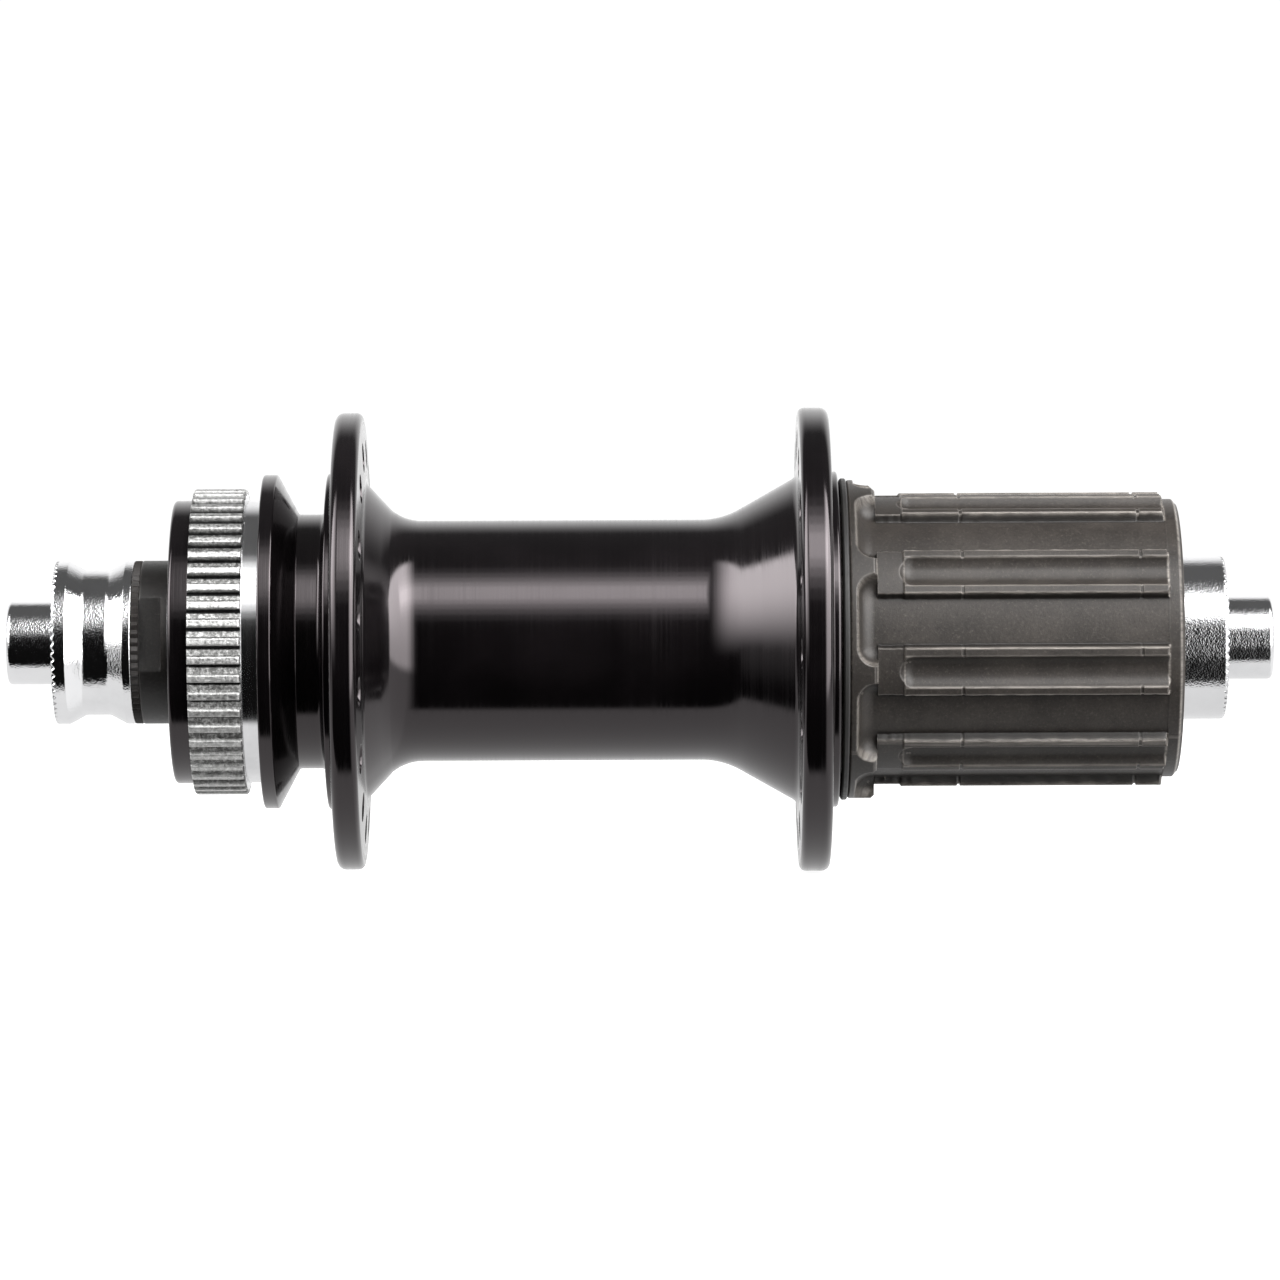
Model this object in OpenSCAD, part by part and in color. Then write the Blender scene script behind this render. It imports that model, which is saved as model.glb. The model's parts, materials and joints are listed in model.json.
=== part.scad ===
// Rear bicycle hub with a splined disc-rotor mount on the left and a splined freehub body on the right.
// The axle lies along X with the drive side towards +X, and the origin is midway between the dropout faces.

/* [Axle] */
// Length of the axle, tip to tip
axle_len = 146; // [143:1:150]
// Distance between the two faces that the frame's dropouts clamp
dropout_width = 135; // [134:0.5:137]
// Diameter of the axle tips that sit in the dropouts
tip_d = 9.6; // [9.2:0.1:9.9]
// Diameter of the hole for the quick-release skewer
skewer_d = 5.4; // [5.2:0.1:6]
// Diameter of the axle between its tips
axle_d = 14; // [13.6:0.1:14]
// Diameter of the lock nuts and cones
nut_d = 18.86; // [18.6:0.02:19]

/* [Hub shell] */
// Diameter of the barrel between the flanges
barrel_d = 27.8; // [27:0.1:28.4]
// Diameter of the left spoke flange
left_flange_d = 52.8; // [51:0.2:55]
// Diameter of the right spoke flange
right_flange_d = 53.6; // [52:0.2:55]
// Diameter of the circle of spoke holes in the left flange
left_spokes_d = 43.8; // [43:0.1:44]
// Diameter of the circle of spoke holes in the right flange
right_spokes_d = 45.1; // [45.1:0.1:47]
// Number of spoke holes in each flange
spokes = 16; // [12:1:18]
// Diameter of a spoke hole
spoke_d = 2.6; // [2.3:0.1:2.8]

/* [Rotor mount] */
// Diameter over the rotor spline's teeth
rotor_d = 35.3; // [35:0.1:35.6]
// Number of teeth in the rotor spline
rotor_teeth = 52; // [40:1:56]
// Diameter of the thread for the rotor's lock ring
rotor_thread_d = 30.4; // [30:0.1:30.6]

/* [Freehub] */
// Diameter over the cassette splines
splines_d = 34.1; // [34:0.05:34.3]
// Diameter at the floor between the cassette splines
floor_d = 31.9; // [31.8:0.05:32]
// Diameter of the thread for the cassette's lock ring
cassette_thread_d = 30; // [29.8:0.1:30.2]

/* [Bearings] */
// Diameter of the axle bearings' balls
main_ball_d = 3.97; // [3.9:0.01:4]
// Number of balls in each axle bearing
main_balls = 13; // [10:1:13]
// Diameter of the freehub bearings' balls
small_ball_d = 3.175; // [3.1:0.005:3.18]
// Number of balls in each freehub bearing
small_balls = 25; // [20:1:25]

/* [Hidden] */
$fn = 96;

// Colours
black_anodised = "#1d1c1f";
black_steel = "#2b2a29";
chrome = "#d6d6d8";
raw_alloy = "#b9babd";
dark_steel = "#55504b";
rubber = "#111111";

// Places along the axle, from left to right
tip_x = axle_len / 2;
face_x = dropout_width / 2;
shoulder_x = 65;
washer_x = -58.3;
cone_x = -57.5;
flats_end_x = -54.9;
rim_x = -53.7;
spline_x = -51.4;
relief_x = -45.3;
disc_x = -43.4;
left_ball_x = -43.2;
left_cup_x = -40.05;
left_flange_x = -35;
right_flange_x = 18.3;
core_x = 14.6;
collar_x = 20.5;
shell_end_x = 22.8;
body_x = 23.8;
splines_x = 27;
inboard_ball_x = 26;
ratchet_x = 29.5;
ratchet_end_x = 36.5;
spring_x = (ratchet_x + ratchet_end_x) / 2;
bolt_head_x = 38;
core_end_x = 47;
outboard_ball_x = 50.5;
thread_x = 53;
right_ball_x = 57.5;
splines_end_x = 60.1;
body_end_x = 61.9;
right_nut_x = 62;

// Radii
axle_r = axle_d / 2;
tip_r = tip_d / 2;
nut_r = nut_d / 2;
barrel_r = barrel_d / 2;
barrel_bore_r = 11.4;
neck_r = 14.7;
boss_r = 19.4;
disc_r = 19.3;
cup_r = 13.4;
cup_mouth_r = 12.3;
rotor_root_r = 17;
rim_r = 16.35;
ring_r = 16.3;
shank_r = 9.6;
bolt_head_r = 11.3;
core_r = 12.9;
core_spline_r = 12.6;
core_spline_root_r = 11.8;
ratchet_tip_r = 13.1;
ratchet_root_r = 14.4;
small_mouth_r = 14.75;
base_r = 18.4;
splines_r = splines_d / 2;
floor_r = floor_d / 2;

// Bearings: where the balls' centres run, and the gap that their races leave
main_pitch_r = 10;
small_pitch_r = 13;
race_gap = 0.05;
fit = 0.02;

// Cassette splines: nine ridges, one of them wider so that sprockets fit only one way round
ridges = 9;
first_ridge_a = -117;
ridge_half = 2.75;
ridge_foot_half = 3.15;
index_ridge = 4;
index_extra = 1;

// Pawls and ratchet: each pawl turns on its round heel, and has to be in step with the teeth when it lifts
ratchet_teeth = 36;
pawl_lift = 10;
heel_r = 1;
heel_at = 11.6;
nose_a = 27.6;

// Points along an arc about c, from angle a0 to a1
function arc(c, r, a0, a1, n = 8) =
    [for (i = [0:n]) let (a = a0 + (a1 - a0) * i / n) [c[0] + r * cos(a), c[1] + r * sin(a)]];

// A point at radius r, at angle a clockwise from the second axis
function polar(a, r) = [r * sin(a), r * cos(a)];

// The outline's [x, radius] points, turned round the hub's axis
module turned(points)
    rotate([0, 90, 0]) rotate_extrude() polygon([for (p = points) [p[1], p[0]]]);

// A plain ring from x0 to x1
module ring(x0, x1, r_in, r_out)
    turned([[x0, r_in], [x1, r_in], [x1, r_out], [x0, r_out]]);

// A round groove for balls, whose centres run at radius pitch_r
module ball_groove(x, pitch_r, ball_d)
    translate([x, 0, 0]) rotate([0, 90, 0]) rotate_extrude()
        translate([pitch_r, 0]) circle(r = ball_d / 2 + race_gap);

// A flat outline, extruded from x0 to x1
module extruded(x0, x1)
    translate([x0, 0, 0]) rotate([0, 90, 0]) linear_extrude(height = x1 - x0) children();

module copies(count, first = 0)
    for (i = [0:count - 1]) rotate([first + i * 360 / count, 0, 0]) children();

// Radial teeth that bite into the dropout: V grooves in the outer face of a lock nut
module face_teeth(count, r_in, depth)
    copies(count) translate([face_x, 0, r_in])
        linear_extrude(height = nut_r) polygon([[0.01, -depth], [0.01, depth], [-depth, 0]]);

// Hollow axle: a thick tube with narrower tips, which are relieved inside the lock nuts
module hub_axle()
    color(chrome) difference() {
        relief_r = tip_r - 0.2;
        turned([
            [-tip_x, 0], [-tip_x, tip_r - 0.5], [-tip_x + 0.5, tip_r], [-face_x - 0.1, tip_r],
            [-face_x - 0.1, relief_r], [-shoulder_x, relief_r], [-shoulder_x, axle_r], [shoulder_x, axle_r],
            [shoulder_x, relief_r], [face_x + 0.1, relief_r], [face_x + 0.1, tip_r],
            [tip_x - 0.5, tip_r], [tip_x, tip_r - 0.5], [tip_x, 0]
        ]);
        extruded(-tip_x - 1, tip_x + 1) circle(d = skewer_d);
    }

// The hole in a lock nut: wide over the axle's thread, narrow round its tip
function nut_bore(inner_x) =
    [[face_x, tip_r + 0.05], [shoulder_x + fit, tip_r + 0.05], [shoulder_x + fit, axle_r + fit],
     [inner_x, axle_r + fit]];

// Spool-shaped lock nut
module left_locknut() {
    rim = 1.5;
    slope = 2;
    waist_r = nut_r - 1.05;
    inner_x = -washer_x;
    color(chrome) mirror([1, 0, 0]) difference() {
        turned(concat(nut_bore(inner_x), [
            [inner_x, nut_r - 0.25], [inner_x + 0.25, nut_r], [inner_x + 1, nut_r],
            [inner_x + 1 + slope, waist_r], [face_x - rim - slope, waist_r], [face_x - rim, nut_r],
            [face_x - 0.25, nut_r], [face_x, nut_r - 0.25]
        ]));
        face_teeth(60, 6.8, 0.34);
    }
}

// Plain lock nut that stands out of the freehub
module right_locknut()
    color(chrome) difference() {
        turned(concat(nut_bore(right_nut_x), [
            [right_nut_x, nut_r - 0.2], [right_nut_x + 0.2, nut_r],
            [face_x - 0.6, nut_r], [face_x, nut_r - 0.45]
        ]));
        face_teeth(60, 6.8, 0.34);
    }

// Thin toothed washer between the left lock nut and cone
module left_washer() {
    teeth = 60;
    color(black_steel) extruded(washer_x, cone_x) difference() {
        polygon([for (i = [0:2 * teeth - 1]) polar(i * 180 / teeth, i % 2 ? nut_r - 0.3 : nut_r - 0.02)]);
        circle(r = axle_r + fit);
    }
}

// The race end of a cone whose balls run at x = 0, open towards -X, with its wide end towards +X
function cone_race() = [[-0.5, axle_r + fit], [-0.5, 7.9], [1.9, 9.4]];

// Left cone, with two flats for a 17 mm spanner
module left_cone() {
    flat = 16.8 / 2;
    flats_tilt = 6;
    color(black_steel) difference() {
        turned(concat(
            [[cone_x, axle_r + fit], [cone_x, nut_r - 0.3], [cone_x + 0.3, nut_r], [rim_x + 5, nut_r],
             [rim_x + 5.2, 9.4]],
            [for (i = [2:-1:0]) [left_ball_x - cone_race()[i][0], cone_race()[i][1]]]
        ));
        ball_groove(left_ball_x, main_pitch_r, main_ball_d);
        rotate([-flats_tilt, 0, 0]) for (side = [-1, 1])
            translate([cone_x - 1, side * (flat + 5) - 5, -nut_r]) cube([flats_end_x - cone_x + 1, 10, nut_d]);
    }
}

// Rubber ring that turns dirt away from the left bearing
module left_cone_seal()
    color(rubber) turned([
        [-49.7, nut_r + fit], [-48.6, nut_r + fit], [-48.6, 11.2], [-48.75, 11.8], [-49.1, 11.8],
        [-49.4, 11.2], [-49.7, 10.2]
    ]);

// Right cone, inside the freehub's mouth
module right_cone()
    color(black_steel) difference() {
        turned(concat(
            [for (p = cone_race()) [right_ball_x + p[0], p[1]]],
            [[right_nut_x, 9.4], [right_nut_x, axle_r + fit]]
        ));
        ball_groove(right_ball_x, main_pitch_r, main_ball_d);
    }

// A hole for a spoke, with its edges eased so that they don't cut the spoke
module spoke_hole(x0, x1, pitch_r) {
    ease = 0.45;
    r = spoke_d / 2;
    translate([0, 0, pitch_r]) turned([
        [x0 - 1, 0], [x0 - 1, r + ease + 1], [x0 + ease, r], [x1 - ease, r], [x1 + 1, r + ease + 1], [x1 + 1, 0]
    ]);
}

// Outside of the hub shell, left to right, without the rotor spline's teeth
function shell_outside() =
    let (left_r = left_flange_d / 2, right_r = right_flange_d / 2,
         left_flare = 5.7, left_slope = 38, right_flare = 9.3, right_slope = 29.5)
    concat(
        arc([rim_x + 0.7, rim_r - 0.7], 0.7, 180, 90, 6),
        [[spline_x, rim_r], [spline_x, rotor_root_r], [relief_x, rotor_root_r], [relief_x, ring_r], [disc_x, ring_r],
         [disc_x, disc_r - 0.2], [disc_x + 0.2, disc_r], [disc_x + 1.4, disc_r], [disc_x + 1.65, disc_r - 0.2],
         [-39.35, neck_r]],
        arc([-37.1, neck_r + 0.7], 0.7, 270, 350, 5),
        [[-35.95, boss_r - 0.2], [-35.75, boss_r], [left_flange_x, boss_r]],
        arc([left_flange_x + 0.95, left_r - 0.95], 0.95, 180, 90, 6),
        arc([left_flange_x + 2.35, left_r - 0.75], 0.75, 90, 20, 5),
        [[left_flange_x + 3.5, 18.4]],
        arc([left_flange_x + 4.55, 18.45], 0.95, 190, 232, 4),
        arc([-25.1, barrel_r + left_flare], left_flare, 270 - left_slope, 270, 12),
        arc([7, barrel_r + right_flare], right_flare, 270, 270 + right_slope, 12),
        arc([right_flange_x - 1.35, 19.45], 1.15, 300, 350, 4),
        arc([right_flange_x + 0.75, right_r - 0.75], 0.75, 165, 90, 5),
        arc([right_flange_x + 2.45, right_r - 1.05], 1.05, 90, 0, 6),
        [[right_flange_x + 3.5, boss_r], [shell_end_x - 0.3, boss_r], [shell_end_x, boss_r - 0.3]]
    );

// Inside of the hub shell, right to left
function shell_inside() = [
    [shell_end_x, 16], [collar_x, 16], [collar_x, core_spline_root_r + 0.05],
    [core_x - 0.1, core_spline_root_r + 0.05], [core_x - 0.1, shank_r + fit], [10, shank_r + fit],
    [8.2, barrel_bore_r], [left_cup_x, barrel_bore_r], [left_cup_x, cup_r + fit],
    [-47, cup_r + fit], [-47, rotor_thread_d / 2], [rim_x + 0.3, rotor_thread_d / 2],
    [rim_x, rotor_thread_d / 2 + 0.3]
];

// Teeth round the rotor mount, eased at both ends
module rotor_teeth() {
    r = rotor_d / 2;
    land = 0.52;
    foot = 0.78;
    intersection() {
        extruded(spline_x, relief_x) difference() {
            intersection() {
                circle(r = r);
                union() {
                    circle(r = rotor_root_r);
                    for (i = [0:rotor_teeth - 1]) rotate(i * 360 / rotor_teeth)
                        polygon([[0, -foot], [rotor_root_r - 0.05, -foot], [r + 0.1, -land],
                                 [r + 0.1, land], [rotor_root_r - 0.05, foot], [0, foot]]);
                }
            }
            circle(r = rim_r - 0.5);
        }
        turned([
            [spline_x, rim_r - 1], [spline_x, r - 0.4], [spline_x + 0.4, r + 0.01],
            [relief_x - 0.6, r + 0.01], [relief_x, r - 0.6], [relief_x, rim_r - 1]
        ]);
    }
}

// The twelve-toothed spline that keys the freehub core into the shell
module core_spline(gap = 0) {
    teeth = 12;
    half = 1.6;
    circle(r = core_spline_root_r + gap);
    intersection() {
        circle(r = core_spline_r + gap);
        for (i = [0:teeth / 2 - 1]) rotate(i * 360 / teeth)
            square([2 * core_r, 2 * (half + gap)], center = true);
    }
}

// Hub shell: barrel, spoke flanges and rotor mount in one piece
module hub_shell() {
    left_first_a = 15.2;
    right_first_a = 4;
    color(black_anodised) difference() {
        union() {
            turned(concat(shell_outside(), shell_inside()));
            rotor_teeth();
        }
        copies(spokes, left_first_a) spoke_hole(left_flange_x, left_flange_x + 3.4, left_spokes_d / 2);
        copies(spokes, right_first_a) spoke_hole(right_flange_x, right_flange_x + 3.5, right_spokes_d / 2);
        extruded(core_x - 0.1, collar_x + 0.01) core_spline(0.05);
    }
}

// Steel cup pressed into the shell's left end
module left_bearing_cup()
    color(chrome) difference() {
        turned([
            [-46.9, cup_mouth_r], [-46.9, cup_r - 0.2], [-46.7, cup_r], [left_cup_x - 0.25, cup_r],
            [left_cup_x - 0.05, cup_r - 0.2], [left_cup_x - 0.05, 9.2], [left_ball_x, 9.2],
            [left_ball_x, cup_mouth_r]
        ]);
        ball_groove(left_ball_x, main_pitch_r, main_ball_d);
    }

// Dished cap over the left bearing, at the bottom of the rotor mount's thread
module left_dust_cap()
    color(black_steel) turned([
        [-47.05, nut_r + 0.35], [-48.35, nut_r + 0.35], [-48.35, 11.9], [-47.75, 12.6], [-47.75, 14.4],
        [-49.2, 14.9], [-49.2, rotor_thread_d / 2 - 0.03], [-47.05, rotor_thread_d / 2 - 0.03]
    ]);

// A lifted pawl's outline, without its heel
module pawl_outline()
    polygon([
        polar(0, heel_at + 0.85), polar(6, 12.5), polar(12, 12.68), polar(20.2, 12.92), polar(nose_a, 13.94),
        polar(nose_a - 0.4, 12.25), polar(14, 11.3), polar(5, 10.95), polar(0, heel_at - 0.85)
    ]);

// Turns an outline about the pawl's heel
module about_heel(a)
    translate([0, heel_at]) rotate(a) translate([0, -heel_at]) children();

// The pocket that a pawl folds down into
module pawl_pocket() {
    translate([0, heel_at]) circle(r = heel_r + 0.08);
    polygon([
        polar(2.5, 10.58), polar(14, 10.5), polar(28.4, 10.98), polar(32, 11.1), polar(32, 14), polar(1.5, 14)
    ]);
}

// A pawl folded into the core, with a slot deep enough to clear the spring as it lifts
module pawl() {
    x0 = ratchet_x + 0.3;
    x1 = ratchet_end_x - 0.3;
    color(raw_alloy) difference() {
        union() {
            extruded(x0, x1) translate([0, heel_at]) circle(r = heel_r);
            extruded(x0, x1) about_heel(-pawl_lift) pawl_outline();
        }
        extruded(spring_x - 0.55, spring_x + 0.55)
            polygon([[-1.5, 11.9], [0.6, 11.9], [3, 11.1], [5, 9.95], [7, 8], [7, 14], [-1.5, 14]]);
    }
}

// Wire ring that lifts both pawls
module pawl_spring() {
    wire_r = 0.25;
    gap_a = 14;
    color(chrome) translate([spring_x, 0, 0]) rotate([0, 90, 0])
        rotate([0, 0, 180 + gap_a / 2]) rotate_extrude(angle = 360 - gap_a) translate([12.5, 0]) circle(r = wire_r);
}

// Core that stays fixed to the hub shell and carries the pawls
module freehub_core()
    color(dark_steel) difference() {
        union() {
            extruded(core_x, collar_x + 0.5) core_spline();
            turned([
                [collar_x, 0], [collar_x, 15.3], [collar_x + 0.2, 15.5], [body_x - 0.6, 15.5],
                [body_x - 0.4, 15.3], [body_x - 0.4, core_r], [core_end_x, core_r], [core_end_x, 0]
            ]);
        }
        ring(core_x - 1, bolt_head_x, 0, shank_r + 0.1);
        ring(bolt_head_x - 0.01, core_end_x + 1, 0, bolt_head_r + 0.1);
        ball_groove(inboard_ball_x, small_pitch_r, small_ball_d);
        copies(2) extruded(ratchet_x + 0.2, ratchet_end_x - 0.2) pawl_pocket();
        ring(spring_x - 0.5, spring_x + 0.5, 12.15, core_r + 1);
    }

// Hollow bolt that holds the core in the shell, with a hexagonal socket
module fixing_bolt() {
    socket_flats = 15;
    color(chrome) difference() {
        turned([
            [10.2, axle_r + 0.7], [10.2, shank_r - 0.5], [10.7, shank_r], [bolt_head_x + 0.05, shank_r],
            [bolt_head_x + 0.05, bolt_head_r], [41.2, bolt_head_r], [41.5, bolt_head_r - 0.3],
            [41.5, axle_r + 0.7]
        ]);
        translate([35, 0, 0]) rotate([0, 90, 0]) cylinder(h = 10, d = socket_flats / cos(30), $fn = 6);
    }
}

// Shim that sets the freehub bearings' play
module freehub_shim()
    color(chrome) ring(core_end_x, core_end_x + 0.3, 11.5, 12.8);

// Threaded race: outside for the freehub's outboard balls, inside for the axle's right balls
module freehub_race()
    color(chrome) difference() {
        turned([
            [43.5, 8.4], [43.5, bolt_head_r], [core_end_x + 0.3, bolt_head_r], [core_end_x + 0.3, 12.6],
            [outboard_ball_x, 12.6], [outboard_ball_x, 14.3], [thread_x + 0.5, 14.3], [thread_x + 0.9, 13.9],
            [thread_x + 0.9, 13.4], [60.5, 13.4], [60.8, 13.1], [60.8, cup_mouth_r],
            [right_ball_x, cup_mouth_r], [right_ball_x, 9.2], [right_ball_x - 3, 9.2], [right_ball_x - 3, 8.4]
        ]);
        ball_groove(outboard_ball_x, small_pitch_r, small_ball_d);
        ball_groove(right_ball_x, main_pitch_r, main_ball_d);
    }

// Cap over the right bearing
module right_dust_cap()
    color(black_steel) turned([
        [60.1, 9.65], [60.1, 12], [60.4, cup_mouth_r - fit], [61.1, cup_mouth_r - fit],
        [61.1, 11], [60.8, 10.6], [60.8, 9.65]
    ]);

// Cross-section of the cassette splines
module ridges_outline(tip_r) {
    circle(r = floor_r);
    intersection() {
        circle(r = tip_r);
        for (i = [0:ridges - 1]) rotate(first_ridge_a + i * 360 / ridges) let (extra = i == index_ridge ? index_extra : 0)
            polygon([
                [10, -ridge_foot_half], [floor_r - 0.1, -ridge_foot_half], [splines_r + 0.1, -ridge_half],
                [splines_r + 0.1, ridge_half + extra], [floor_r - 0.1, ridge_foot_half + extra],
                [10, ridge_foot_half + extra]
            ]);
    }
}

// The round-ended channel down the middle of each ridge
module ridge_channel() {
    r = 2.1;
    start_x = 29.1;
    centre_r = floor_r + r;
    translate([0, 0, centre_r]) turned(concat(
        arc([start_x + r, 0], r, 180, 90, 8),
        [[splines_end_x + 0.01, r], [splines_end_x + 0.01, 0]]
    ));
}

// The scoop that lets the floor between two ridges run out into the base flange
module base_scoop() {
    half = 4.85;
    corner = 2;
    left = body_x + 0.9;
    right = splines_x + 0.01;
    low = floor_r + 0.02;
    high = base_r + 1;
    intersection() {
        translate([0, 0, low]) linear_extrude(height = high - low) polygon(concat(
            arc([left + corner, corner - half], corner, 270, 180),
            arc([left + corner, half - corner], corner, 180, 90),
            [[right, half], [right, -half]]
        ));
        translate([0, half + 1, 0]) rotate([90, 0, 0]) linear_extrude(height = 2 * half + 2) polygon(concat(
            arc([left + corner, low + corner], corner, 180, 270),
            [[right, low], [right, high], [left, high]]
        ));
    }
}

// Inside of the freehub body, left to right, without the ratchet
function body_inside() = [
    [body_x - 1, 0], [body_x - 1, small_mouth_r], [inboard_ball_x, small_mouth_r], [inboard_ball_x, ratchet_tip_r],
    [ratchet_end_x - 0.01, ratchet_tip_r], [ratchet_end_x - 0.01, 14.2], [core_end_x + 0.5, 14.2],
    [core_end_x + 0.5, ratchet_tip_r], [outboard_ball_x, ratchet_tip_r], [outboard_ball_x, small_mouth_r],
    [thread_x, small_mouth_r], [thread_x, cassette_thread_d / 2], [body_end_x - 0.5, cassette_thread_d / 2],
    [body_end_x, cassette_thread_d / 2 + 0.5], [body_end_x + 1, cassette_thread_d / 2 + 0.5], [body_end_x + 1, 0]
];

// Saw teeth inside the freehub body, in mesh with the pawls' noses
module ratchet_outline() {
    pitch = 360 / ratchet_teeth;
    first_a = nose_a - 0.1;
    lean = 2.6;
    polygon([
        for (i = [0:ratchet_teeth - 1], end = [0, 1])
            polar(first_a + i * pitch + end * lean, end ? ratchet_tip_r : ratchet_root_r)
    ]);
}

// Freehub body: the splined sleeve that carries the sprockets
module freehub_body() {
    nicks_x = [36.7, 57];
    block_end_x = 30;
    color(dark_steel) difference() {
        union() {
            turned([
                [body_x, 0], [body_x, base_r - 0.25], [body_x + 0.25, base_r], [splines_x - 0.35, base_r],
                [splines_x, base_r - 0.35], [splines_x, 0]
            ]);
            extruded(splines_x - 0.5, block_end_x) ridges_outline(splines_r - 0.25);
            extruded(block_end_x, splines_end_x) ridges_outline(splines_r);
            turned([
                [splines_end_x - 0.5, 0], [splines_end_x - 0.5, floor_r], [splines_end_x, floor_r + 0.1],
                [body_end_x - 0.5, floor_r + 0.1], [body_end_x, floor_r - 0.4], [body_end_x, 0]
            ]);
        }
        turned(body_inside());
        extruded(ratchet_x, ratchet_end_x) ratchet_outline();
        ball_groove(inboard_ball_x, small_pitch_r, small_ball_d);
        ball_groove(outboard_ball_x, small_pitch_r, small_ball_d);
        for (i = [0:ridges - 1]) {
            rotate([180 + first_ridge_a + i * 360 / ridges, 0, 0]) ridge_channel();
            rotate([180 + first_ridge_a + (i + 0.5) * 360 / ridges, 0, 0]) base_scoop();
        }
        for (x = nicks_x) ring(x - 0.15, x + 0.15, splines_r - 0.2, splines_r + 1);
    }
}

// Rubber ring between the freehub body and the hub shell
module freehub_seal()
    color(rubber) turned([
        [body_x, 15.9], [body_x - 0.5, 15.9], [body_x - 0.8, 17.4], [body_x - 0.75, 18.4],
        [body_x - 0.55, 18.6], [body_x - 0.15, 18.6], [body_x, 18.45]
    ]);

// A ring of separate balls
module ball_ring(x, pitch_r, ball_d, count)
    color(chrome) copies(count) translate([x, 0, pitch_r]) sphere(d = ball_d);

// Pressed cage that spaces an axle bearing's balls: a ring beside them, with a prong between each pair
module retainer()
    color(raw_alloy) {
        ring(1.9, 2.3, 10.4, 12.1);
        copies(main_balls, 180 / main_balls) translate([-0.3, -0.35, 10.6]) cube([2.4, 0.7, 1.2]);
    }

module left_ball_retainer()
    translate([left_ball_x, 0, 0]) mirror([1, 0, 0]) retainer();

module right_ball_retainer()
    translate([right_ball_x, 0, 0]) retainer();

hub_axle();
left_locknut();
left_washer();
left_cone();
left_cone_seal();
right_cone();
right_locknut();
hub_shell();
left_bearing_cup();
left_dust_cap();
freehub_core();
fixing_bolt();
freehub_shim();
freehub_race();
right_dust_cap();
pawl_spring();
freehub_body();
freehub_seal();
ball_ring(left_ball_x, main_pitch_r, main_ball_d, main_balls);  // left_balls
left_ball_retainer();
ball_ring(right_ball_x, main_pitch_r, main_ball_d, main_balls);  // right_balls
right_ball_retainer();
ball_ring(inboard_ball_x, small_pitch_r, small_ball_d, small_balls);  // inboard_freehub_balls
ball_ring(outboard_ball_x, small_pitch_r, small_ball_d, small_balls);  // outboard_freehub_balls
pawl();  // pawl_a
rotate([180, 0, 0]) pawl();  // pawl_b
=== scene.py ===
"""Looks of a rear bicycle hub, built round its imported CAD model: lathe-turned shells with eased edges, toothed and
splined surfaces as fine radial meshes, procedural metal and rubber, a pale floor and a light tent."""

import json
import math

import bpy
import numpy as np
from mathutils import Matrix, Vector


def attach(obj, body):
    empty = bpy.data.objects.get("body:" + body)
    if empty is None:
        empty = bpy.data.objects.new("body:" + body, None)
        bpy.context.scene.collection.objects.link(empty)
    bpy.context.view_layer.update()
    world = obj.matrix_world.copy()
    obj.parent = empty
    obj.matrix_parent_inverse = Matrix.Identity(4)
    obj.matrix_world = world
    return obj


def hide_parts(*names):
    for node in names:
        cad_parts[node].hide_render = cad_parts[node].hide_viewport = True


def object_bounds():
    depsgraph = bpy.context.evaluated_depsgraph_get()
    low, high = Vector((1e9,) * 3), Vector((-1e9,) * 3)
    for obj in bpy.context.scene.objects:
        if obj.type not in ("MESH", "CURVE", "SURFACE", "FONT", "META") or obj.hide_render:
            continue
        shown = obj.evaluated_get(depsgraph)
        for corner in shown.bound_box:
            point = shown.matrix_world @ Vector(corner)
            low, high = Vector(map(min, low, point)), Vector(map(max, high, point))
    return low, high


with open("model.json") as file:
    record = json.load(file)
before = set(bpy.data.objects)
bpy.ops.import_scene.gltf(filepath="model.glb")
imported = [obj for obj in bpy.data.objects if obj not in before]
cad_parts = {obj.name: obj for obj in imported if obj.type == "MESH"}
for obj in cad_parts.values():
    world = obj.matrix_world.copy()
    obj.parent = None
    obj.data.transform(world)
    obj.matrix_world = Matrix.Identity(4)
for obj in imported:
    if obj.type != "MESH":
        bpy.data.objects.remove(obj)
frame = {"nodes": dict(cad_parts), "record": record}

cad_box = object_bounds()

MM = 0.001
TAU = 2 * math.pi
scene = bpy.context.scene
mounts = {m["name"]: m for m in frame["record"]["mounts"]}


# ---------------------------------------------------------------- mesh helpers

def fillet(points, steps=5):
    """A polyline from [x, r] or [x, r, radius] corners, in mm, with the given corners rounded."""
    out = []
    n = len(points)
    for i, p in enumerate(points):
        radius = p[2] if len(p) > 2 else 0
        here = np.array(p[:2], float)
        if radius <= 0:
            out.append(here)
            continue
        before = np.array(points[i - 1][:2], float) - here
        after = np.array(points[(i + 1) % n][:2], float) - here
        a, b = before / np.linalg.norm(before), after / np.linalg.norm(after)
        half = math.acos(max(-1, min(1, float(a @ b)))) / 2
        reach = min(radius / math.tan(half), 0.49 * np.linalg.norm(before), 0.49 * np.linalg.norm(after))
        r = reach * math.tan(half)
        middle = (a + b) / np.linalg.norm(a + b)
        centre = here + middle * r / math.sin(half)
        start, end = here + a * reach - centre, here + b * reach - centre
        a0 = math.atan2(start[1], start[0])
        turn = (math.atan2(end[1], end[0]) - a0 + math.pi) % TAU - math.pi
        hold = 0.05
        if reach + hold < 0.49 * np.linalg.norm(before):
            out.append(here + a * (reach + hold))
        for k in range(steps + 1):
            t = a0 + turn * k / steps
            out.append(centre + r * np.array([math.cos(t), math.sin(t)]))
        if reach + hold < 0.49 * np.linalg.norm(after):
            out.append(here + b * (reach + hold))
    return np.array(out)


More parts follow.
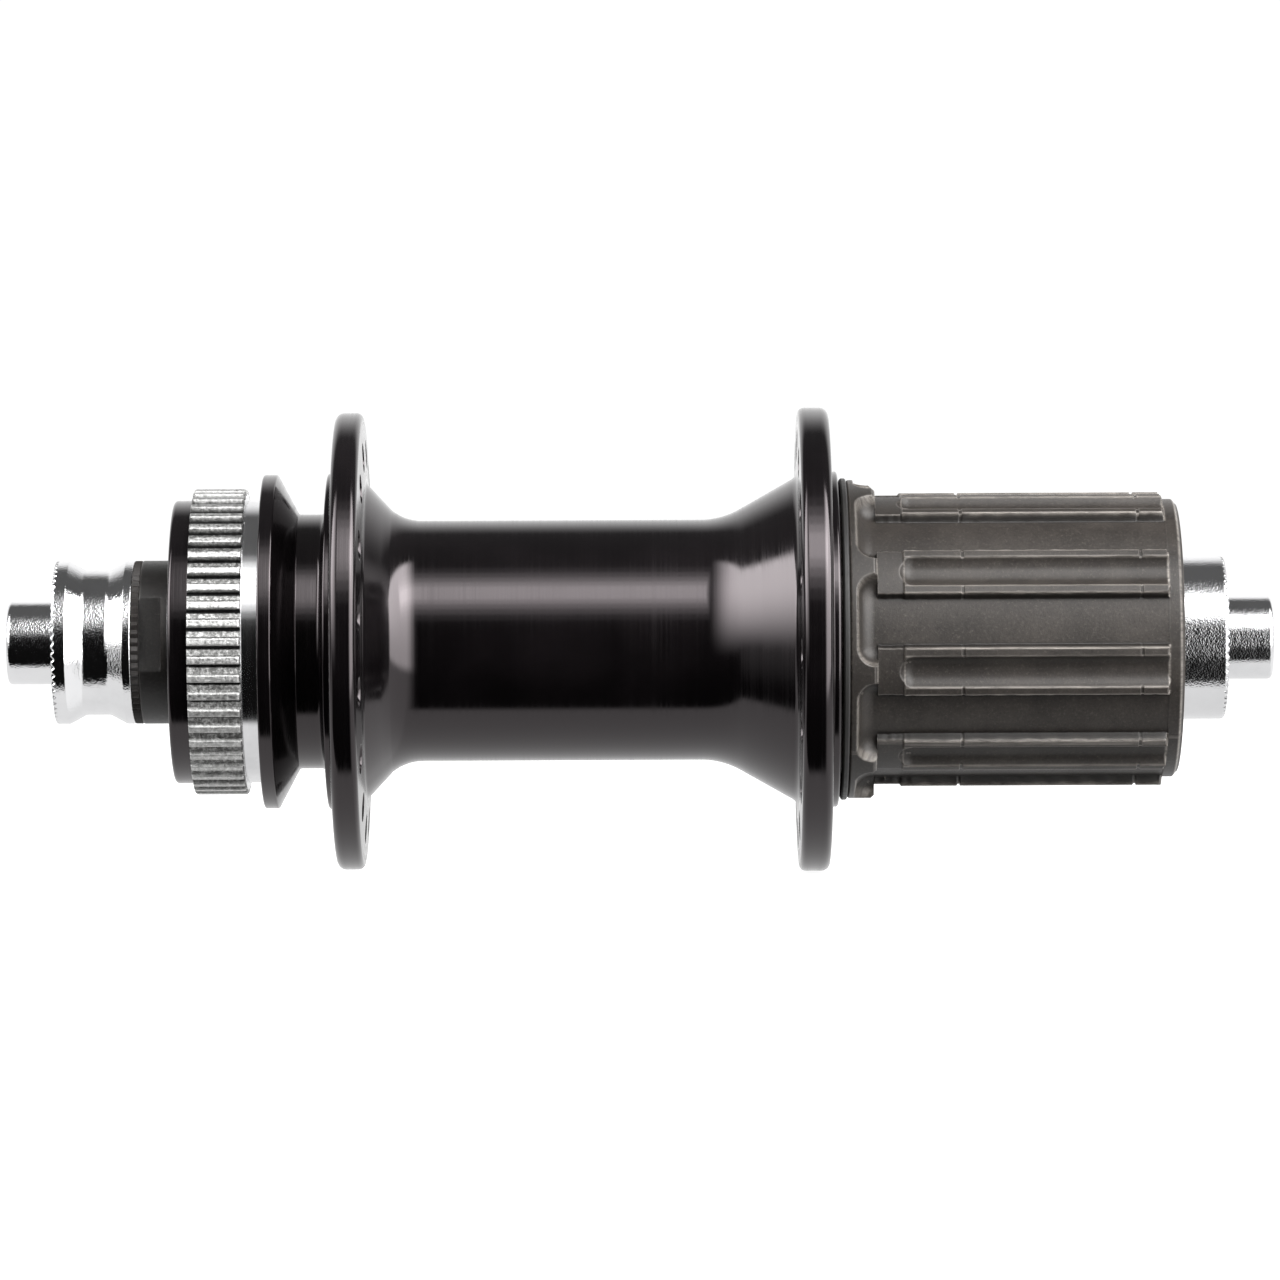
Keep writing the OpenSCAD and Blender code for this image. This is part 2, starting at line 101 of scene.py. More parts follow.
def densify(line, longest):
    """The closed polyline with no step longer than the given length, in mm."""
    out = []
    for i, p in enumerate(line):
        q = line[(i + 1) % len(line)]
        n = max(1, math.ceil(float(np.linalg.norm(q - p)) / longest))
        out += [p + (q - p) * k / n for k in range(n)]
    return np.array(out)


def mesh_object(name, verts, faces, angle=32):
    """An object from arrays of corners, in metres, and quads, smooth except across sharp edges."""
    mesh = bpy.data.meshes.new(name)
    mesh.vertices.add(len(verts))
    mesh.vertices.foreach_set("co", np.asarray(verts, np.float32).ravel())
    faces = np.asarray(faces, np.int32)
    mesh.loops.add(faces.size)
    mesh.loops.foreach_set("vertex_index", faces.ravel())
    mesh.polygons.add(len(faces))
    mesh.polygons.foreach_set("loop_start", np.arange(len(faces), dtype=np.int32) * faces.shape[1])
    mesh.update(calc_edges=True)
    mesh.validate()
    mesh.shade_smooth()
    mesh.set_sharp_from_angle(angle=math.radians(angle))
    obj = bpy.data.objects.new(name, mesh)
    scene.collection.objects.link(obj)
    return obj


def turned(name, line, segments, warp=None, angle=32):
    """A closed profile of [x, r] in mm, turned round the X axis. warp(x, r, a) moves the points: a is measured from the
    side that faces -Y, up towards +Z."""
    line = np.asarray(line, float)
    x, r = line[:, 0], line[:, 1]
    inside_out = np.sum(x * np.roll(r, -1) - np.roll(x, -1) * r) < 0
    angles = np.arange(segments) * TAU / segments if np.isscalar(segments) else np.asarray(segments)
    x, a = np.meshgrid(line[:, 0], angles, indexing="ij")
    r = np.meshgrid(line[:, 1], angles, indexing="ij")[0]
    painted = {}
    if warp:
        x, r, *more = warp(x, r, a)
        painted = more[0] if more else {}
    verts = np.stack([x, -r * np.cos(a), r * np.sin(a)], -1).reshape(-1, 3) * MM
    n, m = len(line), len(angles)
    i, j = np.meshgrid(np.arange(n), np.arange(m), indexing="ij")
    i2, j2 = (i + 1) % n, (j + 1) % m
    faces = np.stack([i * m + j, i * m + j2, i2 * m + j2, i2 * m + j], -1).reshape(-1, 4)
    obj = mesh_object(name, verts, faces[:, ::-1] if inside_out else faces, angle)
    for key, values in painted.items():
        layer = obj.data.attributes.new(key, "FLOAT", "POINT")
        layer.data.foreach_set("value", values.astype(np.float32).ravel())
    return obj


def smooth(t):
    t = np.clip(t, 0, 1)
    return t * t * (3 - 2 * t)


def soft_min(a, b, k):
    """The smaller of two, blended over k."""
    h = np.clip(0.5 + 0.5 * (b - a) / k, 0, 1)
    return b + (a - b) * h - k * h * (1 - h)


def soft_max(a, b, k):
    return -soft_min(-a, -b, k)


def wave(t):
    """A triangle wave from 0 to 1, peaking where t is whole."""
    return 1 - 2 * np.abs(t - np.round(t))


# ---------------------------------------------------------------- materials

class Shader:
    """Short names for building one node material."""

    def __init__(self, name, **values):
        self.mat = bpy.data.materials.new(name)
        self.mat.use_nodes = True
        self.tree = self.mat.node_tree
        self.out = self.tree.nodes["Principled BSDF"]
        for key, value in values.items():
            self.out.inputs[key.replace("_", " ")].default_value = value
        coords = self.node("ShaderNodeTexCoord")
        self.where = coords.outputs["Object"]

    def node(self, kind, **settings):
        n = self.tree.nodes.new(kind)
        for key, value in settings.items():
            setattr(n, key, value)
        return n

    def link(self, a, b):
        self.tree.links.new(a, b)

    def math(self, operation, a, b=None, clamp=False):
        n = self.node("ShaderNodeMath", operation=operation, use_clamp=clamp)
        for socket, value in zip(n.inputs, (a, b)):
            if value is None:
                continue
            if isinstance(value, (int, float)):
                socket.default_value = value
            else:
                self.link(value, socket)
        return n.outputs[0]

    def mix(self, share, a, b):
        """Colour mix of two colours or sockets."""
        n = self.node("ShaderNodeMix", data_type="RGBA")
        for socket, value in ((n.inputs["Factor"], share), (n.inputs["A"], a), (n.inputs["B"], b)):
            pass
        sockets = [s for s in n.inputs if s.enabled]
        for socket, value in zip(sockets, (share, a, b)):
            if isinstance(value, (int, float)):
                socket.default_value = value
            elif isinstance(value, tuple):
                socket.default_value = (*value, 1)
            else:
                self.link(value, socket)
        return [s for s in n.outputs if s.enabled][0]

    def ramp(self, value, low, high, to_low=0.0, to_high=1.0):
        n = self.node("ShaderNodeMapRange", interpolation_type="SMOOTHSTEP")
        self.link(value, n.inputs["Value"])
        for key, v in (("From Min", low), ("From Max", high), ("To Min", to_low), ("To Max", to_high)):
            n.inputs[key].default_value = v
        return n.outputs["Result"]

    def polar(self, per_x, per_turn, per_r=None):
        """Coordinates wrapped round the X axis: along it, round it, and out from it."""
        axes = self.node("ShaderNodeSeparateXYZ")
        self.link(self.where, axes.inputs[0])
        x, y, z = axes.outputs
        turn = self.math("ARCTAN2", z, y)
        radius = self.math("SQRT", self.math("ADD", self.math("MULTIPLY", y, y), self.math("MULTIPLY", z, z)))
        joined = self.node("ShaderNodeCombineXYZ")
        self.link(self.math("MULTIPLY", x, per_x), joined.inputs[0])
        self.link(self.math("MULTIPLY", self.math("SINE", turn), per_turn), joined.inputs[1])
        self.link(self.math("MULTIPLY", self.math("COSINE", turn), per_turn), joined.inputs[2])
        if per_r is not None:
            shifted = self.node("ShaderNodeVectorMath", operation="ADD")
            self.link(joined.outputs[0], shifted.inputs[0])
            out = self.node("ShaderNodeCombineXYZ")
            self.link(self.math("MULTIPLY", radius, per_r), out.inputs[0])
            self.link(out.outputs[0], shifted.inputs[1])
            return shifted.outputs[0], x, radius
        return joined.outputs[0], x, radius

    def noise(self, where, scale, detail=4.0, roughness=0.55, distortion=0.0):
        n = self.node("ShaderNodeTexNoise")
        self.link(where, n.inputs["Vector"])
        n.inputs["Scale"].default_value = scale
        n.inputs["Detail"].default_value = detail
        n.inputs["Roughness"].default_value = roughness
        n.inputs["Distortion"].default_value = distortion
        return n.outputs["Fac"]

    def cells(self, where, scale, feature="F1"):
        n = self.node("ShaderNodeTexVoronoi", feature=feature)
        self.link(where, n.inputs["Vector"])
        n.inputs["Scale"].default_value = scale
        return n.outputs["Distance"]

    def painted(self, name):
        n = self.node("ShaderNodeAttribute", attribute_name=name)
        return n.outputs["Fac"]

    def edges(self):
        """How sharp an edge this point is on, from 0 to 1: convex edges are worn."""
        n = self.node("ShaderNodeNewGeometry")
        return self.ramp(n.outputs["Pointiness"], 0.505, 0.56)

    def bump(self, height, distance, strength=1.0):
        n = self.node("ShaderNodeBump")
        n.inputs["Strength"].default_value = strength
        n.inputs["Distance"].default_value = distance
        self.link(height, n.inputs["Height"])
        if self.out.inputs["Normal"].links:
            self.link(self.out.inputs["Normal"].links[0].from_socket, n.inputs["Normal"])
        self.link(n.outputs[0], self.out.inputs["Normal"])

    def colour(self, socket):
        self.link(socket, self.out.inputs["Base Color"])

    def rough(self, socket):
        self.link(socket, self.out.inputs["Roughness"])


def turning_lines(s, scale, depth):
    """Fine grooves that a lathe leaves round the axis."""
    rings, x, radius = s.polar(1.0, 0.00006, 1.0)
    fine = s.noise(rings, scale, 3.0, 0.7)
    s.bump(fine, depth)
    return fine, x, radius


def anodised():
    s = Shader("anodised_black", IOR=1.56)
    s.out.inputs["Specular Tint"].default_value = (1.0, 0.90, 0.93, 1)
    lines, x, radius = turning_lines(s, 3400, 0.0000030)
    cloud = s.noise(s.where, 55, 5)
    s.colour(s.mix(s.ramp(cloud, 0.35, 0.7), (0.0016, 0.0013, 0.0015), (0.0042, 0.0034, 0.0038)))
    smear = s.noise(s.where, 140, 6, 0.7)
    s.rough(s.math("ADD", s.ramp(lines, 0.3, 0.75, 0.075, 0.185), s.ramp(smear, 0.45, 0.8, 0.0, 0.04)))
    return s.mat


def chrome(name="bright_chrome", tint=(0.80, 0.80, 0.81), rough=(0.05, 0.12)):
    s = Shader(name, Metallic=1.0)
    lines, x, radius = turning_lines(s, 2600, 0.0000005)
    pits = s.cells(s.where, 5200)
    orange = s.noise(s.where, 1500, 5, 0.65)
    s.bump(s.math("ADD", orange, s.math("MULTIPLY", pits, 0.6)), 0.000019)
    s.bump(s.noise(s.where, 420, 3), 0.000016)
    stain = s.noise(s.where, 90, 5)
    dull = tuple(c * 0.86 for c in tint)
    s.colour(s.mix(s.ramp(stain, 0.35, 0.75), tint, dull))
    s.rough(s.ramp(orange, 0.3, 0.75, *rough))
    return s.mat


def bare_cast():
    """Grainy bare metal of the rotor spline, with painted shade in its grooves."""
    s = Shader("bare_sparkle_metal", Metallic=1.0)
    grain = s.noise(s.where, 2300, 6, 0.75)
    pits = s.cells(s.where, 2600)
    s.bump(s.math("ADD", grain, s.math("MULTIPLY", pits, 0.8)), 0.000030)
    base = s.mix(s.ramp(grain, 0.42, 0.66), (0.17, 0.17, 0.165), (0.58, 0.58, 0.57))
    base = s.mix(s.math("MULTIPLY", s.painted("crest"), 0.35), base, (0.78, 0.78, 0.77))
    # Painted shade: the spline's grooves are coloured near black.
    s.colour(s.mix(s.painted("recess_shade"), base, (0.02, 0.02, 0.02)))
    s.rough(s.ramp(pits, 0.1, 0.6, 0.28, 0.50))
    return s.mat


def machined(name, tint, rough, lines_scale=3200, depth=0.0000012):
    s = Shader(name, Metallic=1.0)
    lines, x, radius = turning_lines(s, lines_scale, depth)
    cloud = s.noise(s.where, 120, 5)
    s.colour(s.mix(s.ramp(cloud, 0.35, 0.7), tint, tuple(c * 0.8 for c in tint)))
    s.rough(s.ramp(lines, 0.3, 0.75, *rough))
    return s.mat


def phosphated(name, dark, light, worn=(0.30, 0.275, 0.25)):
    """Dark phosphate coat with a fine grain, brighter worn edges and painted shade in marked recesses."""
    s = Shader(name, Metallic=0.12, IOR=1.5)
    s.out.inputs["Specular IOR Level"].default_value = 0.42
    cloud = s.noise(s.where, 170, 6, 0.6)
    grain = s.noise(s.where, 3100, 5, 0.8)
    scratch, x, radius = s.polar(60.0, 14.0)
    marks = s.noise(scratch, 3.2, 6, 0.8, 0.4)
    base = s.mix(s.ramp(cloud, 0.3, 0.75), dark, light)
    base = s.mix(s.ramp(grain, 0.52, 0.72, 0.0, 0.7), base, tuple(min(1, 2.1 * c) for c in light))
    base = s.mix(s.ramp(grain, 0.48, 0.30, 0.0, 0.6), base, tuple(0.35 * c for c in dark))
    # Painted shade: marked recesses are coloured darker.
    base = s.mix(s.math("MULTIPLY", s.painted("recess_shade"), 0.75), base, tuple(0.25 * c for c in dark))
    wear = s.math("MAXIMUM", s.math("MULTIPLY", s.edges(), 0.35), s.painted("worn"))
    wear = s.math("MULTIPLY", wear, s.ramp(marks, 0.35, 0.62, 0.25, 1.0))
    s.colour(s.mix(wear, base, worn))
    s.bump(grain, 0.000026)
    s.bump(cloud, 0.000040, 0.6)
    s.rough(s.math("SUBTRACT", s.ramp(grain, 0.25, 0.75, 0.34, 0.50), s.math("MULTIPLY", wear, 0.12)))
    return s.mat


def rubber():
    s = Shader("seal_rubber", IOR=1.5)
    grain = s.noise(s.where, 1900, 5, 0.7)
    cloud = s.noise(s.where, 160, 4)
    s.colour(s.mix(s.ramp(cloud, 0.3, 0.7), (0.010, 0.010, 0.010), (0.020, 0.019, 0.018)))
    s.rough(s.ramp(grain, 0.3, 0.7, 0.42, 0.6))
    s.bump(grain, 0.000008)
    return s.mat


def floor_paper():
    s = Shader("pale_floor", Roughness=0.85)
    grain = s.noise(s.where, 320, 5, 0.6)
    s.colour(s.mix(s.ramp(grain, 0.3, 0.7), (0.30, 0.30, 0.30), (0.33, 0.33, 0.33)))
    s.out.inputs["Emission Color"].default_value = (1, 1, 1, 1)
    s.out.inputs["Emission Strength"].default_value = 0.92
    s.out.inputs["Specular IOR Level"].default_value = 0.0
    return s.mat


ANODISED = anodised()
CHROME = chrome()
SPARKLE = bare_cast()
BARE = machined("bare_turned_metal", (0.78, 0.78, 0.79), (0.10, 0.17))
STEEL = machined("ground_bearing_steel", (0.56, 0.56, 0.57), (0.14, 0.26))
PRESSED = machined("pressed_steel", (0.42, 0.41, 0.40), (0.28, 0.42), 900, 0.000003)
BLACKED = phosphated("blacked_steel", (0.008, 0.0072, 0.0068), (0.018, 0.016, 0.015), (0.09, 0.08, 0.075))
FREEHUB = phosphated("phosphated_steel", (0.019, 0.0160, 0.0138), (0.036, 0.0308, 0.0268), (0.34, 0.31, 0.28))
RUBBER = rubber()

NODE_LOOKS = {
    "hub_axle": CHROME, "left_locknut": CHROME, "right_locknut": CHROME,
    "left_washer": BLACKED, "left_cone": BLACKED, "right_cone": BLACKED,
    "left_dust_cap": BLACKED, "right_dust_cap": BLACKED,
    "left_cone_seal": RUBBER, "freehub_seal": RUBBER,
    "hub_shell": ANODISED, "left_bearing_cup": STEEL, "freehub_core": FREEHUB, "fixing_bolt": STEEL,
    "freehub_shim": STEEL, "freehub_race": STEEL, "pawl_spring": STEEL, "freehub_body": FREEHUB,
    "left_balls": STEEL, "right_balls": STEEL, "inboard_freehub_balls": STEEL, "outboard_freehub_balls": STEEL,
    "left_ball_retainer": PRESSED, "right_ball_retainer": PRESSED, "pawl_a": PRESSED, "pawl_b": PRESSED,
}
for node_name, look in NODE_LOOKS.items():
    data = frame["nodes"][node_name].data
    data.materials.clear()
    data.materials.append(look)

# ---------------------------------------------------------------- the hub's pieces

def arc(x, r, radius, a0, a1, steps=10):
    """Points along an arc about (x, r), angles in degrees."""
    turns = [math.radians(a0 + (a1 - a0) * k / steps) for k in range(steps + 1)]
    return [[x + radius * math.cos(t), r + radius * math.sin(t)] for t in turns]


def dense(x0, x1, step):
    n = max(1, round(abs(x1 - x0) / step))
    return [x0 + (x1 - x0) * k / n for k in range(n + 1)]


def place(obj, look, body, slot, *nodes):
    obj.data.materials.append(look)
    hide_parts(*nodes)
    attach(obj, body)
    return obj


SPOKES = 16
rotor_x0, rotor_x1, disc_x = -51.4, -45.3, -43.4
rim_x = -53.7


def thread_depth(x, a, pitch, depth, start, end):
    """How far a helical thread stands in from its bore, fading out at both ends."""
    crest = smooth(wave(x / pitch - a / TAU) * 1.25)
    fade = smooth((x - start) / (0.6 * pitch)) * smooth((end - x) / (0.6 * pitch))
    return depth * crest * fade


def shell_profile():
    return fillet([
        [rim_x, 15.5], [rim_x, 16.35, 0.5], [rotor_x0 - 0.02, 16.35, 0.05], [rotor_x0 - 0.02, 16.02],
        [disc_x + 0.02, 16.02], [disc_x + 0.02, 19.3, 0.22], [-41.8, 19.3, 0.3], [-39.35, 14.7, 0.35],
        [-36.25, 14.7, 0.6], [-35.95, 19.4, 0.22], [-35.0, 19.4, 0.2], [-35.0, 26.4, 0.95], [-31.93, 26.4, 0.75],
        [-31.5, 18.2, 0.95], *arc(-25.1, 19.6, 5.7, 232, 270, 14), *arc(7, 23.2, 9.3, 270, 299.5, 16),
        [18.14, 18.82, 1.15], [18.3, 26.8, 0.75], [21.8, 26.8, 1.0], [21.8, 19.4, 0.25], [22.8, 19.4, 0.3],
        [22.8, 16], [20.5, 16], [20.5, 12.65], [14.5, 12.65], [14.5, 9.62], [10, 9.62], [8.2, 11.4],
        [-40.05, 11.4], [-40.05, 13.42], [-47, 13.42], [-47, 15.2], [-49.3, 15.2],
        *[[x, 15.2] for x in dense(-49.4, -53.3, 0.12)],
    ])


def spoke_cutter(x0, x1, ring_r, first_deg):
    """Round cutters for one flange's spoke holes, flared at both faces."""
    ease, r = 0.5, 1.3
    line = fillet([[x0 - 1, 0.001], [x0 - 1, r + ease + 0.4], [x0 - 0.05, r + ease], [x0 + ease, r, 0.7],
                   [x1 - ease, r, 0.7], [x1 + 0.05, r + ease], [x1 + 1, r + ease + 0.4], [x1 + 1, 0.001]])
    made = []
    for k in range(SPOKES):
        a = math.radians(first_deg + 360 / SPOKES * k)
        cutter = turned("cutter", line, 40)
        cutter.location = (0, -ring_r * math.cos(a) * MM, ring_r * math.sin(a) * MM)
        made.append(cutter)
    return made


def build_shell():
    def warp(x, r, a):
        inner = np.abs(r - 15.2) < 1e-6
        depth = thread_depth(x, a, 1.0, 0.26, -53.35, -49.4)
        return x, np.where(inner & (x < -49.35), r - depth, r)

    shell = turned("hub_shell_body", densify(shell_profile(), 1.6), 576, warp)
    cutters = spoke_cutter(-35.0, -31.7, 21.9, 74.8) + spoke_cutter(18.25, 21.8, 22.55, 86.0)
    joined = bpy.data.meshes.new("cutters")
    verts, faces = [], []
    for c in cutters:
        c.matrix_world = c.matrix_basis
        base = len(verts)
        verts += [tuple(c.matrix_basis @ v.co) for v in c.data.vertices]
        faces += [[base + i for i in p.vertices] for p in c.data.polygons]
        bpy.data.objects.remove(c)
    joined.from_pydata(verts, [], faces)
    joined.validate()
    tool = bpy.data.objects.new("cutters", joined)
    scene.collection.objects.link(tool)
    cut = shell.modifiers.new("holes", "BOOLEAN")
    cut.operation, cut.solver, cut.object = "DIFFERENCE", "MANIFOLD", tool
    bpy.context.view_layer.update()
    done = bpy.data.meshes.new_from_object(shell.evaluated_get(bpy.context.evaluated_depsgraph_get()))
    shell.modifiers.clear()
    shell.data = done
    bpy.data.objects.remove(tool)
    done.shade_smooth()
    done.set_sharp_from_angle(angle=math.radians(32))
    done.materials.clear()
    place(shell, ANODISED, "hub_shell", "anodised_shell", "hub_shell")
    return shell


def build_rotor_spline():
    teeth = 52
    tip, groove, root_r = 17.65, 16.85, 17.12
    pitch = TAU / teeth
    per = 20
    line = fillet([[rotor_x0, 16.03], [rotor_x0, tip, 0.3], [rotor_x1, tip, 0.35], [rotor_x1, 16.3, 0.04],
                   [disc_x, 16.3, 0.08], [disc_x, 16.03]])
    line = densify(line, 0.6)

    def warp(x, r, a):
        d = ((a + math.pi / 2) / pitch + 0.5) % 1 - 0.5
        d = d * pitch * tip
        low_side = 16.85 + np.clip(-(d + 0.42), 0, 9) * 0.0
        r_tooth = np.full_like(d, tip)
        lower = np.interp(d, [-1.07, -0.86, -0.76, -0.56, -0.44, -0.40], [17.08, 17.02, groove, groove, 17.55, tip])
        upper = np.interp(d, [0.40, 0.44, 0.54, 1.07], [tip, 17.55, 17.2, 17.08])
        r_tooth = np.where(d < -0.40, lower, np.where(d > 0.40, upper, tip))
        toothed = r > 16.4
        # Painted shade: how dark the grooves beside each tooth are coloured, as if shade fell in them.
        recess_shade = np.where(toothed, np.interp(d, [-0.9, -0.78, -0.54, -0.42, 0.42, 0.5, 0.6],
                                           [0.15, 1.0, 1.0, 0.0, 0.0, 0.6, 0.15]), 0.0)
        crest = np.where(toothed & (np.abs(d) < 0.43), 1.0, 0.0)
        return x, np.where(toothed, np.minimum(r, r_tooth), r), {"recess_shade": recess_shade, "crest": crest}

    ring = turned("rotor_spline_ring", line, teeth * per, warp, angle=50)
    ring.data.materials.append(SPARKLE)
    ring.data.materials.append(BARE)
    centre = np.zeros(len(ring.data.polygons) * 3, np.float32)
    ring.data.polygons.foreach_get("center", centre)
    smooth_part = centre.reshape(-1, 3)[:, 0] > (rotor_x1 - 0.02) * MM
    ring.data.polygons.foreach_set("material_index", smooth_part.astype(np.int32))
    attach(ring, "hub_shell")
    return ring


def face_grooves(face, count, r_in, depth, towards):
    """A warp that cuts radial V grooves in the end face at x = face."""
    def warp(x, r, a):
        d = np.abs(((a / TAU * count + 0.5) % 1 - 0.5) * TAU / count * r)
        cut = np.clip(depth - d, 0, None) * smooth((r - r_in) / 0.25)
        near = np.clip(1 - np.abs(x - face) / (depth + 0.12), 0, 1)
        return x + towards * cut * (near > 0) * np.minimum(1, near * 1.6), r
    return warp


def build_nuts():
    left = fillet([
        [-67.5, 4.85, 0.15], [-67.5, 6.8], [-67.5, 9.43, 0.3], [-65.9, 9.43, 0.3], [-64.0, 8.39, 0.9],
        [-61.25, 8.39, 0.9], [-59.3, 9.43, 0.3], [-58.3, 9.43, 0.2], [-58.3, 7.02], [-65.02, 7.02], [-65.02, 4.85],
    ])
    obj = turned("left_lock_nut", densify(left, 0.4), 960, face_grooves(-67.5, 60, 6.8, 0.34, 1))
    place(obj, CHROME, "axle", "chromed_steel", "left_locknut")
    right = fillet([
        [62.0, 7.02], [62.0, 9.43, 0.2], [67.5, 9.43, 0.45], [67.5, 6.8], [67.5, 4.85, 0.15], [65.02, 4.85],
        [65.02, 7.02],
    ])
    obj = turned("right_lock_nut", densify(right, 0.4), 960, face_grooves(67.5, 60, 6.8, 0.34, -1))
    place(obj, CHROME, "axle", "chromed_steel", "right_locknut")


def build_axle():
    half = [[-73, 2.7, 0.2], [-73, 4.8, 0.45], [-67.6, 4.8], [-67.6, 4.6], [-65, 4.6], [-65, 7.0]]
    mirrored = [[-p[0], *p[1:]] for p in half[::-1]]
    obj = turned("hollow_axle", densify(fillet(half + mirrored), 1.5), 256)
    place(obj, CHROME, "axle", "chromed_steel", "hub_axle")


def build_left_cone():
    line = fillet([
        [-57.5, 7.02], [-57.5, 9.43, 0.3], [-54.9, 9.43], [-48.7, 9.43], [-48.5, 9.4], [-45.1, 9.4],
        [-45.1, 9.15], *arc(-43.2, 10, 2.03, 205, 258, 8), [-42.7, 7.9], [-42.7, 7.02],
    ])

    def warp(x, r, a):
        flat = 8.4 / np.maximum(0.2, np.abs(np.cos(a - math.radians(6))))
        ease = 0.12 * smooth((x + 54.98) / 0.1)
        on = smooth((-54.88 - x) / 0.06)
        cut = soft_min(r, flat, 0.05)
        return x, np.where((r > 8.0) & (x < -54.8), r + (np.minimum(cut, r) - r) * on, r)

    line = densify(line, 0.5)
    steps = [[x, 9.43] for x in (-54.96, -54.93, -54.9, -54.87)]
    k = int(np.argmax((line[:, 0] > -54.97) & (line[:, 1] > 9.4)))
    line = np.array([p for p in line[:k]] + steps + [p for p in line[k:] if not (p[1] > 9.4 and p[0] < -54.86)])
    obj = turned("left_bearing_cone", line, 720, warp, angle=25)
    place(obj, BLACKED, "axle", "black_steel", "left_cone")

    teeth = 60

    def toothed(x, r, a):
        return x, np.where(r > 9, 9.13 + 0.28 * wave(a / TAU * teeth), r)

    obj = turned("left_toothed_washer", [[-58.3, 7.02], [-58.3, 9.3], [-57.5, 9.3], [-57.5, 7.02]], teeth * 8, toothed)
    place(obj, BLACKED, "axle", "black_steel", "left_washer")


def build_caps_and_seals():
    obj = turned("left_cone_lip_seal", densify(fillet([
        [-49.7, 9.45], [-48.6, 9.45], [-48.6, 11.2, 0.2], [-48.75, 11.8, 0.1], [-49.1, 11.8, 0.1], [-49.4, 11.2, 0.3],
        [-49.7, 10.2, 0.3]]), 0.5), 256)
    place(obj, RUBBER, "axle", "rubber_seal", "left_cone_seal")
    obj = turned("left_dished_dust_cap", densify(fillet([
        [-47.05, 9.78], [-48.35, 9.78, 0.15], [-48.35, 11.9, 0.3], [-47.75, 12.6, 0.4], [-47.75, 14.4, 0.4],
        [-49.2, 14.9, 0.3], [-49.2, 15.17, 0.05], [-47.05, 15.17]]), 0.5), 320)
    place(obj, BLACKED, "hub_shell", "black_steel", "left_dust_cap")
    obj = turned("right_dust_cap_ring", densify(fillet([
        [60.1, 9.65], [60.1, 12.0], [60.4, 12.28], [61.1, 12.28, 0.1], [61.1, 11.0, 0.3], [60.8, 10.6, 0.25],
        [60.8, 9.65, 0.15]]), 0.5), 320)
    place(obj, BLACKED, "hub_shell", "black_steel", "right_dust_cap")
    obj = turned("freehub_lip_seal", densify(fillet([
        [23.8, 15.9], [23.3, 15.9], [23.0, 17.4, 0.3], [23.05, 18.4, 0.2], [23.25, 18.6, 0.12], [23.65, 18.6, 0.12],
        [23.8, 18.45, 0.1]]), 0.5), 400)
    place(obj, RUBBER, "freehub_body", "rubber_seal", "freehub_seal")


RIDGES = 9
FLOOR, TIP = 15.95, 17.05


